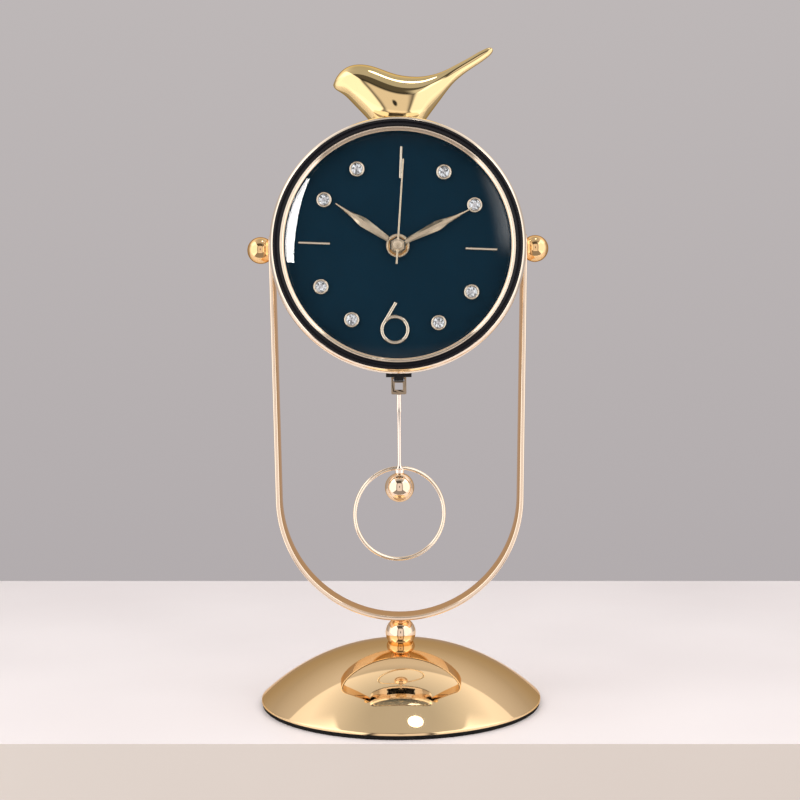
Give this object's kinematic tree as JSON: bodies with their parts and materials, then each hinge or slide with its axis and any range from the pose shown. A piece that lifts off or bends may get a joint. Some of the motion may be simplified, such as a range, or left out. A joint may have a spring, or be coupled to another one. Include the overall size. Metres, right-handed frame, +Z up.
{
  "type": "desk pendulum clock",
  "caption": "Table clock: round head with dark dial, stone hour marks and a bird on top, clamped between the arms of a U frame on a domed base, with a ring pendulum below.",
  "frame": {"origin": "on the table, under the middle of the base", "axes": "+Z up, dial faces -Y, +X to the viewer's right"},
  "size_m": [0.1428, 0.1312, 0.3089],
  "materials": {
    "gold": "polished",
    "rose_gold": "polished",
    "black_ring": "satin",
    "black_plastic": "matte",
    "black_rubber": "matte",
    "iron": "rough",
    "steel": "satin",
    "clear_glass": "clear",
    "teal_dial": "satin",
    "stones": "cut",
    "white_plastic": "satin",
    "arbor_brass": "satin",
    "copper": "satin",
    "board": "satin",
    "cell": "satin"
  },
  "bodies": {
    "stand": {"base_mat": "black_rubber", "base_dome": "gold", "base_weight": "iron", "base_washer": "steel", "base_nut": "steel", "neck_stud": "steel", "neck_ball": "gold", "u_frame": "rose_gold"},
    "case": {"case_shell": "rose_gold", "bezel_ring": "black_ring", "inner_bezel": "rose_gold", "glass_lens": "clear_glass", "dial": "teal_dial", "hour_bars": "rose_gold", "numeral_six": "rose_gold", "gem_cups": "rose_gold", "gem_stones": "stones", "movement_housing": "black_plastic", "movement_cover": "black_plastic", "dial_washer": "black_rubber", "dial_nut": "rose_gold", "circuit_board": "board", "motor_coil": "copper", "battery_contacts": "steel", "rear_cover": "black_plastic", "rear_screws": "steel", "hanger_pin": "steel", "drive_coil": "copper", "pivot_bolts": "steel", "pivot_spacers": "black_plastic", "bird": "gold", "bird_screw": "steel"},
    "left_knob": {"left_knob": "gold"},
    "right_knob": {"right_knob": "gold"},
    "hour_hand": {"hour_hand": "rose_gold", "hour_wheel": "white_plastic"},
    "minute_hand": {"minute_hand": "rose_gold", "minute_arbor": "arbor_brass", "minute_nut": "rose_gold"},
    "second_hand": {"second_hand": "rose_gold", "second_arbor": "white_plastic"},
    "set_knob": {"set_knob": "black_plastic", "reverser_wheel": "white_plastic"},
    "pendulum_arm": {"pendulum_arm": "black_plastic", "hanger_magnet": "steel"},
    "pendulum": {"stirrup": "rose_gold", "pendulum_rod": "rose_gold", "pendulum_ring": "rose_gold", "pendulum_ball": "rose_gold"},
    "battery": {"battery": "cell"}
  },
  "joints": [
    {"name": "case_tilt", "type": "hinge", "parent": "stand", "child": "case", "pos_m": [0, 0, 0.2134], "axis": [1, 0, 0], "range_deg": [-12, 12]},
    {"name": "left_knob_turn", "type": "hinge", "parent": "case", "child": "left_knob", "pos_m": [-0.065, 0, 0.2134], "axis": [1, 0, 0], "continuous": true},
    {"name": "right_knob_turn", "type": "hinge", "parent": "case", "child": "right_knob", "pos_m": [0.065, 0, 0.2134], "axis": [1, 0, 0], "continuous": true},
    {"name": "minute_turn", "type": "hinge", "parent": "case", "child": "minute_hand", "pos_m": [0, -0.015, 0.2134], "axis": [0, 1, 0], "continuous": true},
    {"name": "hour_turn", "type": "hinge", "parent": "case", "child": "hour_hand", "pos_m": [0, -0.014, 0.2134], "axis": [0, 1, 0], "continuous": true},
    {"name": "set_turn", "type": "hinge", "parent": "case", "child": "set_knob", "pos_m": [0, 0.008, 0.2234], "axis": [0, 1, 0], "continuous": true},
    {"name": "second_turn", "type": "hinge", "parent": "case", "child": "second_hand", "pos_m": [0, -0.017, 0.2134], "axis": [0, 1, 0], "continuous": true},
    {"name": "pendulum_swing", "type": "hinge", "parent": "case", "child": "pendulum_arm", "pos_m": [0, 0, 0.1794], "axis": [0, 1, 0], "range_deg": [-8, 8]},
    {"name": "stirrup_swing", "type": "hinge", "parent": "pendulum_arm", "child": "pendulum", "pos_m": [0, 0, 0.15281], "axis": [1, 0, 0], "range_deg": [-10, 10]},
    {"name": "battery_slide", "type": "slide", "parent": "case", "child": "battery", "axis": [0, 1, 0], "range_m": [0, 0.024]}
  ],
  "couplings": [
    {"joint": "hour_turn", "follows": "minute_turn", "ratio": 0.083333},
    {"joint": "set_turn", "follows": "minute_turn", "ratio": -0.33333}
  ]
}
